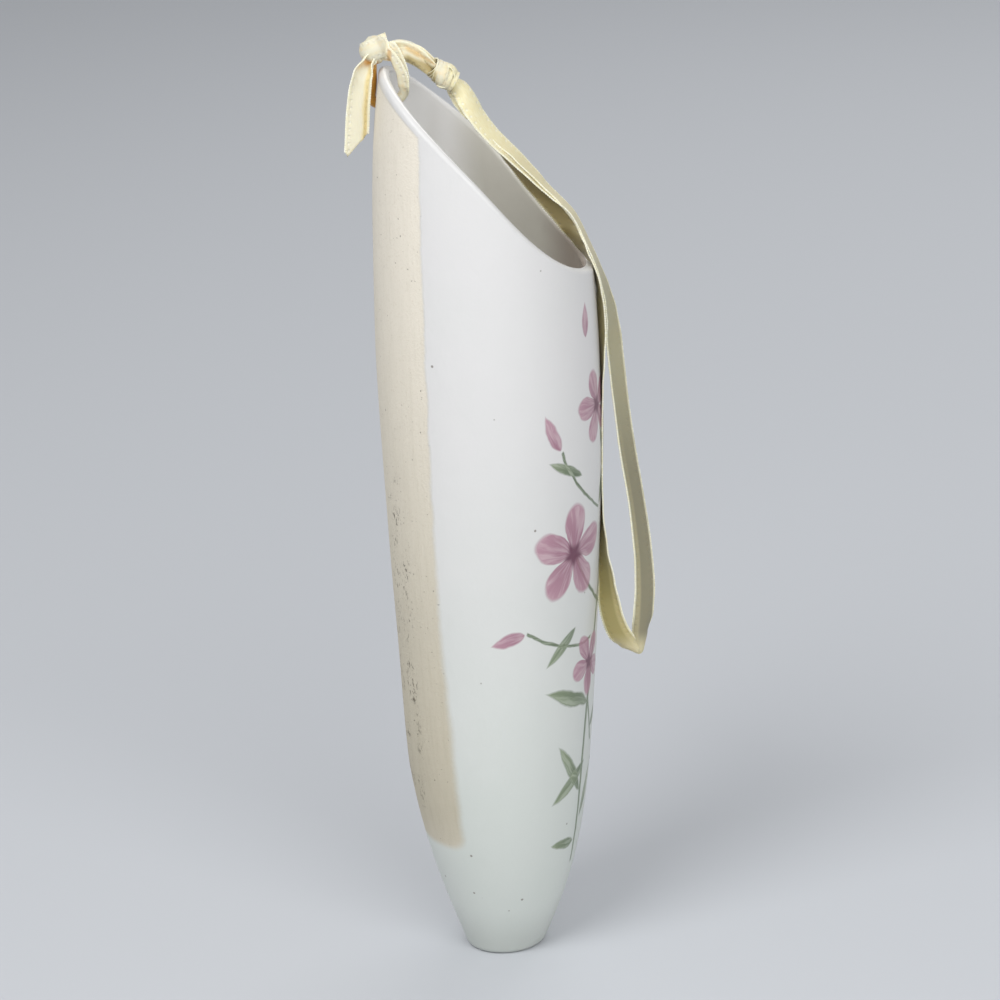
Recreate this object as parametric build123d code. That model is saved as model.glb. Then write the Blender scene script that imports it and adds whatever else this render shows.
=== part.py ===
from build123d import *
import math
import os

# A tall hollow ceramic wall vase with an oblique mouth, hung by one narrow satin ribbon.
# The origin is the middle of the flat patch that rests on the wall. +Z is up, the room is towards -Y.
# All lengths are in millimetres.

# Ceramic body
body_height = 249.0
body_depth = 59.4
wall = 3.0
floor_thickness = 7.0
foot_round = 2.0
rim_round = 1.1
wall_patch_height = 115.0
hole_radius = 2.2
hole_below_tip = 8.0
hole_round = 0.5

# Outer form, from the foot up: height as a share of body_height, then where the back and the front
# lie in front of the wall plane as shares of body_depth. Below zero the back stands proud of the
# wall plane, and is cut flat there.
body_form_shares = [
    (0.000, 0.200, 0.564),
    (0.040, 0.151, 0.641),
    (0.088, 0.093, 0.717),
    (0.145, 0.040, 0.781),
    (0.217, -0.003, 0.833),
    (0.321, -0.019, 0.886),
    (0.442, -0.025, 0.934),
    (0.582, -0.019, 0.983),
    (0.703, -0.003, 1.000),
    (0.803, 0.020, 0.992),
    (0.904, 0.051, 0.960),
    (1.000, 0.109, 0.912),
    (1.052, 0.148, 0.880),
]

# Mouth line seen from the side: shares of body_depth from the wall plane, and of body_height
mouth_shares = [
    (1.260, 0.768),
    (1.017, 0.776),
    (0.907, 0.794),
    (0.756, 0.831),
    (0.520, 0.903),
    (0.285, 0.965),
    (0.116, 1.011),
    (-0.050, 1.058),
]

# Satin ribbon: one length, 6 mm wide, folded to a thin roll where it is knotted
ribbon_width = 6.0
ribbon_thickness = 0.5
rolled_diameter = 2.8
hole_strand_diameter = 2.0
bridge_spread = 1.6
strand_spread = 0.7
run_share = 0.45

# Knots
top_knot_radius = 3.9
loop_knot_length = 9.8
loop_knot_width = 7.2
loop_knot_lean = 41.0

# Tail and stub, the two cut ends at the top knot
tail_offset = 4.2
tail_width = 5.6
tail_thickness = 0.6
tail_cut_angle = 38.0
tail_cut_share = 0.55
stub_width = 2.6
stub_thickness = 1.0

# Where the two knots sit, and the stub's two ends, as (x, y, z)
knot_place = (0.0, -5.4, 139.9)
loop_knot_place = (0.0, -23.4, 132.6)
stub_route = [(3.5, -6.5, 141.8), (4.9, -7.3, 143.6)]

# Routes of the ribbon from the top knot onwards, as (y, z). Each stretch keeps one place across the vase.
wrap_route = [
    (-8.8, 136.9), (-11.2, 136.6), (-13.2, 134.6), (-13.5, 131.0), (-12.0, 127.8),
    (-9.2, 126.1), (-3.4, 125.9), (-3.2, 131.2), (-4.1, 136.0),
]
bridge_route = [(-9.3, 139.9), (-12.6, 140.3), (-16.2, 138.9), (-19.4, 136.0)]
tail_route = [(-4.4, 139.9), (-2.9, 134.2), (-1.7, 127.6), (-0.3, 120.8), (0.8, 114.6)]
outer_strand_route = [
    (-27.5, 128.8), (-31.3, 121.6), (-35.6, 115.4), (-40.4, 109.9), (-45.0, 104.5), (-49.3, 99.1),
    (-54.4, 93.6),
]
inner_strand_route = [
    (-26.2, 127.9), (-29.7, 120.6), (-34.1, 114.3), (-39.1, 108.2), (-44.3, 102.4), (-49.0, 96.5),
    (-52.5, 91.4),
]
outer_drop_route = [
    (-54.8, 92.9), (-58.0, 85.2), (-60.7, 77.6), (-62.7, 69.3), (-63.4, 59.8), (-63.6, 49.2),
    (-64.2, 38.2), (-65.2, 26.2), (-66.7, 12.5), (-67.5, -1.5), (-67.4, -13.0), (-66.7, -22.0),
]
inner_drop_route = [
    (-52.8, 90.8), (-56.3, 85.0), (-59.9, 78.9), (-60.8, 71.0), (-60.6, 62.0), (-60.1, 52.5),
    (-59.7, 42.0), (-59.0, 31.5), (-58.5, 21.0), (-57.7, 10.5), (-57.3, 0.0), (-57.6, -9.5),
    (-58.4, -18.0), (-60.2, -25.2),
]
fold_route = [(-66.6, -22.5), (-65.2, -34.0), (-60.4, -25.8)]

# One overrun serves every cut
overrun = 20.0


def along(share):
    """Height above the wall patch of a share of the body's height."""
    return share * body_height - wall_patch_height


def form_ring(height_share, back_share, front_share, inset):
    """One level section of the body, set in by inset from the outer face."""
    depth = front_share - back_share
    radius = depth * body_depth / 2 - inset
    middle = -(back_share + front_share) * body_depth / 2
    return Pos(0, middle, along(height_share)) * Circle(radius)


def tall_form(inset):
    """The round tapering form between the foot and above the tongue."""
    return loft([form_ring(*ring, inset) for ring in body_form_shares])


def room_side(distance):
    """Everything more than distance in front of the wall plane."""
    width = body_depth + overrun
    height = body_height * body_form_shares[-1][0] + overrun
    block = Box(2 * width, 2 * width, 2 * height, align=(Align.CENTER, Align.MAX, Align.CENTER))
    return Pos(0, -distance, 0) * block


def above_mouth():
    """The space over the mouth line, which the oblique mouth is cut with."""
    line = [Vector(0, -depth * body_depth, along(height)) for depth, height in mouth_shares]
    top = along(body_form_shares[-1][0]) + overrun
    curve = Spline(*line)
    sides = Polyline(line[-1], Vector(0, line[-1].Y, top), Vector(0, line[0].Y, top), line[0])
    return extrude(make_face([curve, sides]), amount=body_depth, dir=(1, 0, 0), both=True)


def make_vase_body():
    outer = tall_form(0) & room_side(0)
    outer = fillet(outer.edges().sort_by(Axis.Z)[0], foot_round)
    block = Box(
        2 * body_depth, 2 * body_depth, body_height + overrun,
        align=(Align.CENTER, Align.MAX, Align.MIN),
    )
    above_floor = Pos(0, 0, along(0) + floor_thickness) * block
    cavity = tall_form(wall) & room_side(wall) & above_floor
    body = outer - cavity - above_mouth()
    rim_edges = body.faces().filter_by(GeomType.EXTRUSION).edges()
    body = fillet([edge for edge in rim_edges if edge.bounding_box().size.X > wall], rim_round)
    drill = Rot(90, 0, 0) * Cylinder(hole_radius, body_depth / 2)
    body -= Pos(0, 0, along(1.0) - hole_below_tip) * drill
    mouths = [edge for edge in body.edges() if is_hole_edge(edge)]
    return fillet(mouths, hole_round)


def is_hole_edge(edge):
    """The two ends of the ribbon hole, inside and outside the back wall."""
    size = edge.bounding_box().size
    high_enough = edge.center().Z > along(1.0) - hole_below_tip - 2 * hole_radius
    return high_enough and abs(size.X - 2 * hole_radius) < hole_radius / 4 and size.Z < 3 * hole_radius


def corner_radii(points):
    """The largest arc that the two runs at each corner allow."""
    radii = []
    for before, corner, after in zip(points, points[1:], points[2:]):
        turn = (corner - before).get_angle(after - corner)
        run = min((corner - before).length, (after - corner).length)
        radii.append(run_share * run / math.tan(math.radians(turn / 2)))
    return radii


def route_path(name, route, x):
    points = [Vector(x, *point) for point in route]
    radii = corner_radii(points)
    print(name, "corner radii", [round(radius, 1) for radius in radii])
    return FilletPolyline(*points, radius=radii)


def swept(name, path, profile, across):
    """A profile carried along a path, with its volume set against section times length."""
    start = Plane(origin=path @ 0, x_dir=across, z_dir=path % 0)
    solid = sweep(start * profile, path=path)
    print(name, "volume over section times length", round(solid.volume / (profile.area * path.length), 4))
    print(name, "length", round(path.length, 1))
    return solid


def band(name, route, x):
    """A flat stretch of ribbon, its width across the vase."""
    profile = Rectangle(ribbon_width, ribbon_thickness)
    return swept(name, route_path(name, route, x), profile, (1, 0, 0))


def roll(name, route, x, diameter):
    """A stretch of ribbon gathered into a thin roll."""
    return swept(name, route_path(name, route, x), Circle(diameter / 2), (1, 0, 0))


def make_tail():
    name = "ribbon_tail"
    path = route_path(name, tail_route, -tail_offset)
    solid = swept(name, path, Rectangle(tail_thickness, tail_width), (1, 0, 0))
    end = path @ 1
    cut_length = tail_width * tail_cut_share
    block = Box(2 * tail_width, 4 * tail_width, 2 * tail_width, align=(Align.CENTER, Align.CENTER, Align.MAX))
    cutter = Pos(end.X, end.Y, end.Z + cut_length) * Rot(tail_cut_angle, 0, 0) * block
    return solid - cutter


def make_stub():
    start, end = [Vector(*point) for point in stub_route]
    path = Line(start, end)
    return swept("ribbon_stub", path, Rectangle(stub_width, stub_thickness), (0, 1, 0.3))


def make_top_knot():
    """A ball knot."""
    return Pos(*knot_place) * Sphere(top_knot_radius)


def make_loop_knot():
    """An overhand knot: a barrel in line with the ribbon."""
    barrel = scale(Sphere(loop_knot_width / 2), by=(1, loop_knot_length / loop_knot_width, 1))
    return Pos(*loop_knot_place) * Rot(loop_knot_lean, 0, 0) * barrel


parts = {
    "vase_body": make_vase_body(),
    "top_knot": make_top_knot(),
    "ribbon_wrap": roll("ribbon_wrap", wrap_route, 0, hole_strand_diameter),
    "ribbon_tail": make_tail(),
    "ribbon_stub": make_stub(),
    "ribbon_bridge_left": roll("ribbon_bridge_left", bridge_route, -bridge_spread, rolled_diameter),
    "ribbon_bridge_right": roll("ribbon_bridge_right", bridge_route, bridge_spread, rolled_diameter),
    "loop_knot": make_loop_knot(),
    "loop_strand_inner": band("loop_strand_inner", inner_strand_route, -strand_spread),
    "loop_strand_outer": band("loop_strand_outer", outer_strand_route, strand_spread),
    "loop_drop_inner": band("loop_drop_inner", inner_drop_route, -strand_spread),
    "loop_drop_outer": band("loop_drop_outer", outer_drop_route, strand_spread),
    "loop_fold": band("loop_fold", fold_route, 0),
}

os.makedirs("parts", exist_ok=True)
for node, solid in parts.items():
    export_step(solid, f"parts/{node}.step")
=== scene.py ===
import math

import bpy
import numpy as np
from mathutils import Matrix, Vector


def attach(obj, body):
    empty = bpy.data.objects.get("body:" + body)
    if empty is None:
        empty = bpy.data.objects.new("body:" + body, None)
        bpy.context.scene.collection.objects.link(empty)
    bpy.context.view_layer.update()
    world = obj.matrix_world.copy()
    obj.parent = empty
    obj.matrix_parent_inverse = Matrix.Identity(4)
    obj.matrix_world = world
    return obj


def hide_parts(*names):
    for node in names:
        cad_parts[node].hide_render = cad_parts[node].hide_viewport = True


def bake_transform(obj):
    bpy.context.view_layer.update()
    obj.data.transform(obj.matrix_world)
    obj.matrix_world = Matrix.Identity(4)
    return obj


# A glazed wall vase that hangs by one satin ribbon. Places are in metres, in the frame of the
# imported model: +Z up, the wall at y = 0, the room towards -Y. Cloth sizes are in millimetres.
MM = 0.001

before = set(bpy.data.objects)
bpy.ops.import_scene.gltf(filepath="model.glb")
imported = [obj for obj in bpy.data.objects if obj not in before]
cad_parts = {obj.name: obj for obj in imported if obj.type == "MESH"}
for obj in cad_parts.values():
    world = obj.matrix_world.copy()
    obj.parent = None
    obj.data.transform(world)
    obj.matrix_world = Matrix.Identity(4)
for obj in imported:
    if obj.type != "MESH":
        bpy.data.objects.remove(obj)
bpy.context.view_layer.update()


# Camera and room

CAMERA_PLACE = Vector((-0.9834, -0.0978, 0.3540))
CAMERA_AIM = Vector((0.0032, -0.0297, 0.0138))
CAMERA_ROLL = 4.2
CAMERA_LENS = 139.0
FLOOR_HEIGHT = -0.115
FLOOR_SIZE = 12.0


def make_camera():
    camera = bpy.data.objects.new("camera", bpy.data.cameras.new("camera"))
    bpy.context.scene.collection.objects.link(camera)
    back = (CAMERA_PLACE - CAMERA_AIM).normalized()
    level = Vector((0, 0, 1)).cross(back).normalized()
    rise = back.cross(level)
    roll = math.radians(CAMERA_ROLL)
    right = level * math.cos(roll) - rise * math.sin(roll)
    up = level * math.sin(roll) + rise * math.cos(roll)
    turn = Matrix((right, up, back)).transposed().to_4x4()
    camera.matrix_world = Matrix.Translation(CAMERA_PLACE) @ turn
    camera.data.lens = CAMERA_LENS
    bpy.context.scene.camera = camera


# Ribbon routes: place, then how far the ribbon is turned about its own line, and how far it
# is rolled up at its edges, in degrees. With no turn it lies flat across the vase.

RIBBON_WIDTH = 6.0
CLOTH = 0.24
SELVEDGE = 0.40
# The thicker selvedge starts at this share of the way from the middle to the edge
SELVEDGE_START = 5 / 6
ACROSS = 17

LOOP_ROUTE = [
    # outer strand, from the loop knot over the mouth to the lip
    (-0.0008, -0.0256, 0.1310, 70, -110), (-0.0010, -0.0281, 0.1289, 66, -70),
    (-0.0011, -0.0300, 0.1248, 48, -30), (-0.0010, -0.0317, 0.1210, 37, -16),
    (-0.0006, -0.0354, 0.1154, 31, -8), (-0.0002, -0.0401, 0.1101, 26, 0),
    (0.0002, -0.0449, 0.1044, 18, 2), (0.0005, -0.0489, 0.0995, 9, 0),
    (0.0007, -0.0536, 0.0949, 2, 0), (0.0007, -0.0556, 0.0916, 3, 0),
    # outer strand, hanging
    (0.0007, -0.0580, 0.0852, 3, 0), (0.0007, -0.0604, 0.0787, 5, 0),
    (0.0007, -0.0622, 0.0716, 14, 2), (0.0007, -0.0631, 0.0655, 25, 4),
    (0.0007, -0.0632, 0.0575, 40, 6), (0.0007, -0.0636, 0.0480, 40, 8),
    (0.0007, -0.0640, 0.0400, 39, 8), (0.0007, -0.0650, 0.0260, 42, 8),
    (0.0007, -0.0664, 0.0145, 42, 8), (0.0007, -0.0675, -0.0015, 50, 10),
    (0.0006, -0.0675, -0.0120, 60, 8), (0.0005, -0.0669, -0.0195, 62, -12),
    # creased lower end
    (0.0004, -0.0661, -0.0262, 62, -76), (0.0002, -0.0656, -0.0309, 60, -142),
    (-0.0001, -0.0645, -0.0313, 64, -142), (-0.0004, -0.0616, -0.0284, 78, -56),
    # inner strand, back up along the front of the vase
    (-0.0006, -0.0593, -0.0244, 88, -6), (-0.0006, -0.0577, -0.0182, 80, 4),
    (-0.0005, -0.0573, -0.0095, 48, 2), (-0.0004, -0.0571, 0.0005, 22, 4),
    (-0.0003, -0.0574, 0.0105, 7, 6), (-0.0003, -0.0580, 0.0210, 2, 6),
    (-0.0003, -0.0591, 0.0360, 0, 6), (-0.0004, -0.0595, 0.0460, 5, 4),
    (-0.0005, -0.0600, 0.0540, 13, 2), (-0.0005, -0.0604, 0.0620, 20, 0),
    (-0.0005, -0.0605, 0.0680, 19, 0), (-0.0004, -0.0602, 0.0735, 14, 0),
    (-0.0003, -0.0597, 0.0780, 10, 0),
    # inner strand, from the lip over the mouth to the loop knot
    (-0.0002, -0.0577, 0.0817, 18, 0), (0.0000, -0.0558, 0.0853, 34, 0),
    (0.0001, -0.0529, 0.0908, 54, 4), (0.0002, -0.0492, 0.0960, 54, 6),
    (0.0003, -0.0450, 0.1011, 46, 6), (0.0006, -0.0392, 0.1085, 32, 4),
    (0.0012, -0.0350, 0.1138, 12, 0), (0.0018, -0.0314, 0.1194, -20, 0),
    (0.0018, -0.0288, 0.1240, -40, 30), (0.0014, -0.0269, 0.1277, -54, 85),
    (0.0010, -0.0254, 0.1303, -62, 118),
]

# From the top knot down the inner face, out through the hole, up the back, and down as the tail
TIED_ROUTE = [
    (0.0000, -0.0066, 0.1411, -84, 130), (-0.0014, -0.0086, 0.1419, -84, 125),
    (-0.0024, -0.0101, 0.1411, -82, 118), (-0.0025, -0.0117, 0.1381, -80, 118),
    (-0.0023, -0.0127, 0.1348, -78, 120), (-0.0019, -0.0130, 0.1318, -74, 124),
    (-0.0012, -0.0126, 0.1290, -70, 132), (-0.0004, -0.0112, 0.1272, -66, 145),
    (0.0000, -0.0093, 0.1265, -60, 150), (0.0000, -0.0046, 0.1265, -40, 150),
    (0.0000, -0.0054, 0.1292, 0, 120), (-0.0002, -0.0060, 0.1335, 14, 118),
    (-0.0005, -0.0057, 0.1372, 50, 125), (-0.0011, -0.0048, 0.1390, 84, 135),
    (-0.0027, -0.0037, 0.1376, 84, 125), (-0.0040, -0.0026, 0.1350, 84, 62),
    (-0.0041, -0.0013, 0.1296, 84, 34), (-0.0041, -0.0002, 0.1215, 84, 12),
    (-0.0041, 0.0008, 0.1129, 84, 6),
]
# How far the wrap is folded over, and which thread it is folded at, by the distance from its start
WRAP_FOLD = [(1.5, 0.0), (4.5, 1.0), (15.0, 1.0), (19.0, 0.0)]
WRAP_FOLD_LINE = [(4.0, -0.9), (14.0, 0.1)]
# The tail's slanting cut: its height, and where across it the point is and how blunt, as shares
TAIL_CUT = 6.8
TAIL_POINT = 0.12
TAIL_BLUNT = 0.22
# The tail's lengthwise creases: place, height and breadth
TAIL_RIDGES = [(1.35, 0.75, 0.32), (2.2, -0.35, 0.35)]
TAIL_LENGTH = 0.024
TAIL_EASE = 0.008

BRIDGE_ROUTE = [
    (-0.0070, 0.1396, 60), (-0.0094, 0.1398, 64), (-0.0126, 0.1402, 70),
    (-0.0156, 0.1391, 74), (-0.0185, 0.1369, 80), (-0.0206, 0.1346, 84),
]
BRIDGE_SPREAD = 0.0010
BRIDGE_WIDTH = 2.5
BRIDGE_SWELL = 2.2
BRIDGE_DEPTH = 0.9

STUB_ROUTE = [(0.0026, -0.0043, 0.1414), (0.0034, -0.0066, 0.1421), (0.0037, -0.0090, 0.1426)]
STUB_WIDE = (0.15, 0.25, 0.96)

TOP_KNOT = Vector((0.0, -0.0059, 0.1402))
LOOP_KNOT = Vector((0.0, -0.0234, 0.1326))
LOOP_KNOT_AXIS = Vector((0.0, -0.77, -0.64))
LOOP_KNOT_LIFT = Vector((0.0, -0.64, 0.77))
LOOP_KNOT_ROLL = 38
LOOP_KNOT_BEGIN = 250

# Turns of cloth round the ball knot: axis, radius, roll, where the turn begins, sweep, lean
TOP_KNOT_TURNS = [
    ((0.2, 1, 0.45), 3.65, 50, 20, 400, 0.0),
    ((0.15, 0.35, 1), 3.90, 46, 120, 380, 0.3),
    ((0.9, 0.5, 0.3), 3.4, 55, 60, 400, 0.0),
]
# Turns along the loop knot: place, lean across and upwards, radius, share of width, lifted edge
LOOP_KNOT_TURNS = [
    (-3.0, 0.35, -0.20, 2.2, 0.36, -0.50), (-2.3, 0.30, 0.05, 2.5, 0.44, -0.32),
    (-1.5, 0.05, 0.30, 2.9, 0.44, -0.16), (-0.1, -0.10, 0.46, 3.25, 0.50, 0.0),
    (1.1, -0.16, 0.36, 3.05, 0.24, 0.0), (1.7, -0.05, 0.24, 2.95, 0.24, 0.12),
    (2.3, 0.12, 0.05, 2.6, 0.36, 0.42),
]
# The marks of a route are found one after another along its line, between these distances
MARK_STEP = 0.0002
MARK_REACH = 0.030


def eased(at, places, amounts):
    """Amounts at given places along a line, with a soft change from each to the next."""
    amounts = np.asarray(amounts, float)
    index = np.clip(np.searchsorted(places, at, side="right") - 1, 0, len(places) - 2)
    share = np.clip((at - places[index]) / (places[index + 1] - places[index]), 0, 1)
    share = share * share * (3 - 2 * share)
    share = share.reshape(-1, *[1] * (amounts.ndim - 1))
    return amounts[index] * (1 - share) + amounts[index + 1] * share


def smooth_line(name, places):
    """The points of a smooth spline that is steered by the given places."""
    curve = bpy.data.curves.new(name, "CURVE")
    curve.dimensions = "3D"
    curve.resolution_u = 20
    spline = curve.splines.new("NURBS")
    spline.points.add(len(places) - 1)
    for point, place in zip(spline.points, places):
        point.co = (*place, 1)
    spline.order_u = 3
    spline.use_endpoint_u = True
    holder = bpy.data.objects.new(name, curve)
    bpy.context.scene.collection.objects.link(holder)
    bpy.context.view_layer.update()
    mesh = bpy.data.meshes.new_from_object(holder)
    points = np.array([vertex.co[:] for vertex in mesh.vertices])
    bpy.data.objects.remove(holder)
    return points


def lengths_along(points):
    steps = np.linalg.norm(np.diff(points, axis=0), axis=1)
    return np.concatenate([[0], np.cumsum(steps)])


def unit(vectors):
    return vectors / np.linalg.norm(vectors, axis=-1, keepdims=True)


# Cross-sections of the cloth: how far aside and how far up each of its threads lies

THREADS = np.linspace(-1, 1, ACROSS) * RIBBON_WIDTH / 2


def rolled(degrees):
    """Rolled about its own line: at its edges it has turned by this many degrees."""
    curl = np.radians(np.maximum(np.abs(degrees), 0.5)) * np.where(np.asarray(degrees) < 0, -1, 1)
    radius = (RIBBON_WIDTH / 2 / curl)[:, None]
    turn = THREADS / radius
    return np.stack([radius * np.sin(turn), radius * (1 - np.cos(turn))], axis=2)


def ridged(sections, ridges):
    """The same cloth with lengthwise creases: where each lies, how high and how broad it is."""
    lifted = sections.copy()
    for place, height, breadth in ridges:
        lifted[:, :, 1] += height * np.exp(-((THREADS[None, :] - place) / breadth) ** 2)
    return lifted


def folded(line_at):
    """Folded over along one thread: the short side lies before the long one."""
    beside = THREADS[None, :] - np.asarray(line_at)[:, None]
    reach = np.abs(beside).max(axis=1, keepdims=True) / 2
    return np.stack([reach - np.abs(beside), 0.34 * np.tanh(beside / 0.45)], axis=2)


def pleated(width, depth, count, lean):
    """Gathered to a width, in lengthwise pleats that wander a little along the cloth."""
    share = THREADS[None, :] / (RIBBON_WIDTH / 2)
    height = depth[:, None] / 2 * np.cos(share * math.pi * count + lean[:, None])
    aside = share * width[:, None] / 2
    aside = aside + 0.22 * np.sin(share * math.pi * count * 1.3 + lean[:, None])
    return np.stack([aside, height], axis=2)


def ribbon_mesh(name, line, wide, sections, cut=0.0):
    """A strip of cloth along a line. wide is the direction of its width at each point, and
    sections give each thread's place aside and upwards there, in millimetres. cut is how much
    shorter the last thread is than the first."""
    ahead = unit(np.gradient(line, axis=0))
    wide = unit(wide - (wide * ahead).sum(1, keepdims=True) * ahead)
    face = np.cross(ahead, wide)
    aside = sections[:, :, 0, None] * wide[:, None, :]
    above = sections[:, :, 1, None] * face[:, None, :]
    cloth = line[:, None, :] + (aside + above) * MM
    rows, threads = cloth.shape[:2]
    along = np.repeat(lengths_along(line)[:, None] / MM, threads, axis=1)
    if cut:
        slant = np.interp(np.linspace(0, 1, threads), [0, TAIL_POINT, 1], [TAIL_BLUNT, 0, 1])
        cloth, along = trimmed(cloth, along, 1 - cut / along[-1, 0] * slant)
    normal = unit(np.cross(np.gradient(cloth, axis=0), np.gradient(cloth, axis=1)))
    edge = np.interp(np.abs(np.linspace(-1, 1, threads)), [SELVEDGE_START, 1], [0, 1])
    thick = (CLOTH + (SELVEDGE - CLOTH) * edge)[None, :, None] * MM / 2
    upper, lower = cloth + normal * thick, cloth - normal * thick
    vertices = np.concatenate([upper, lower[:, ::-1]], axis=1).reshape(-1, 3)
    across = np.repeat(np.linspace(-1, 1, threads)[None] * RIBBON_WIDTH / 2, rows, axis=0)
    across = np.concatenate([across, across[:, ::-1]], axis=1)
    along = np.concatenate([along, along[:, ::-1]], axis=1)
    places = np.stack([along, across], axis=2).reshape(-1, 2)
    mesh = bpy.data.meshes.new(name)
    mesh.from_pydata(vertices.tolist(), [], strip_faces(rows, threads))
    layer = mesh.uv_layers.new(name="weave")
    corners = np.empty(len(mesh.loops), int)
    mesh.loops.foreach_get("vertex_index", corners)
    layer.data.foreach_set("uv", places[corners].astype(float).ravel())
    mesh.update()
    mesh.shade_smooth()
    return mesh, cloth


def strip_faces(rows, threads):
    """The faces of a strip's upper and lower sides, closed along its edges and at its ends."""
    ring = 2 * threads
    faces = []
    for row in range(rows - 1):
        for k in range(ring):
            near, after = row * ring, (k + 1) % ring
            faces.append((near + k, near + after, near + ring + after, near + ring + k))
    for row, order in ((0, -1), (rows - 1, 1)):
        for k in range(threads - 1):
            corners = [k, k + 1, ring - 2 - k, ring - 1 - k][::order]
            faces.append(tuple(row * ring + corner for corner in corners))
    return faces


def trimmed(cloth, along, shorter):
    """Each thread ends at its own share of the length, as a slanting scissor cut leaves it."""
    whole = along[:, 0]
    cloth, along = cloth.copy(), along.copy()
    for thread, share in enumerate(shorter):
        kept = whole * share
        for axis in range(3):
            cloth[:, thread, axis] = np.interp(kept, whole, cloth[:, thread, axis])
        along[:, thread] = kept
    return cloth, along


def merged(name, meshes):
    """Several meshes as one, with their weave."""
    joined = bpy.data.meshes.new(name)
    vertices, faces, places = [], [], []
    for mesh in meshes:
        first = len(vertices)
        vertices += [vertex.co[:] for vertex in mesh.vertices]
        faces += [tuple(first + index for index in polygon.vertices) for polygon in mesh.polygons]
        places += [spot.uv[:] for spot in mesh.uv_layers["weave"].data]
    joined.from_pydata(vertices, [], faces)
    layer = joined.uv_layers.new(name="weave")
    layer.data.foreach_set("uv", np.array(places).ravel())
    joined.update()
    joined.shade_smooth()
    return joined


def add_piece(name, mesh, finish):
    piece = bpy.data.objects.new(name, mesh)
    bpy.context.scene.collection.objects.link(piece)
    mesh.materials.clear()
    mesh.materials.append(finish)
    return piece


def width_directions(line, turns):
    """The width's direction at each point: across the vase, turned about the line."""
    ahead = unit(np.gradient(line, axis=0))
    flat = unit(np.array([1.0, 0, 0]) - ahead[:, :1] * ahead)
    upright = np.cross(ahead, flat)
    angle = np.radians(turns)[:, None]
    return flat * np.cos(angle) + upright * np.sin(angle)


def route_line(name, route):
    """A route's smooth line, and its turns and rolls along it."""
    places = np.array([point[:3] for point in route])
    line = smooth_line(name, places)
    along = lengths_along(line)
    marks = [0.0]
    for place in places[1:-1]:
        near = np.where(along > marks[-1] + MARK_STEP)[0]
        reach = near[along[near] < marks[-1] + MARK_REACH]
        marks.append(along[reach[np.argmin(np.linalg.norm(line[reach] - place, axis=1))]])
    marks = np.array([*marks, along[-1]])
    amounts = eased(along, marks, [point[3:] for point in route])
    return line, amounts[:, 0], amounts[:, 1]


def wound_band(
    centre, axis, radius, degrees, sweep=400.0, begin=0.0, drift=0.0, lean=0.0, fold=1.0, flare=0.0,
):
    """A turn or more of cloth drawn tight round a knot's axis, hugging its round side. degrees is
    how far it is rolled, fold the share of its width that shows, and flare lifts one edge."""
    axis = axis.normalized()
    aside = axis.cross(Vector((1, 0, 0)))
    aside = aside.normalized() if aside.length > 0.1 else axis.cross(Vector((0, 0, 1))).normalized()
    upward = axis.cross(aside)
    angles = np.radians(np.linspace(begin, begin + sweep, 90))
    out = np.outer(np.cos(angles), aside) + np.outer(np.sin(angles), upward)
    shift = drift * np.linspace(-0.5, 0.5, len(angles)) + lean * np.sin(angles)
    line = np.array(centre) + (out * radius + np.outer(shift, axis)) * MM
    wide = np.repeat(np.array(axis)[None], len(angles), axis=0)
    ahead = unit(np.gradient(line, axis=0))
    face = np.cross(ahead, wide)
    inward = np.where((face * out).sum(1) > 0, -1, 1)
    sections = rolled(degrees * inward.astype(float)) * fold
    sections[:, :, 1] -= inward[:, None] * sections[:, :, 0] * flare
    return ribbon_mesh("band", line, wide, sections)[0]


# Stitches of the corded selvedges, laid along the cloth's edges

STITCH_PITCH = 0.66
STITCH_LENGTH = 0.76
STITCH_THICKNESS = 0.46


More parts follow.
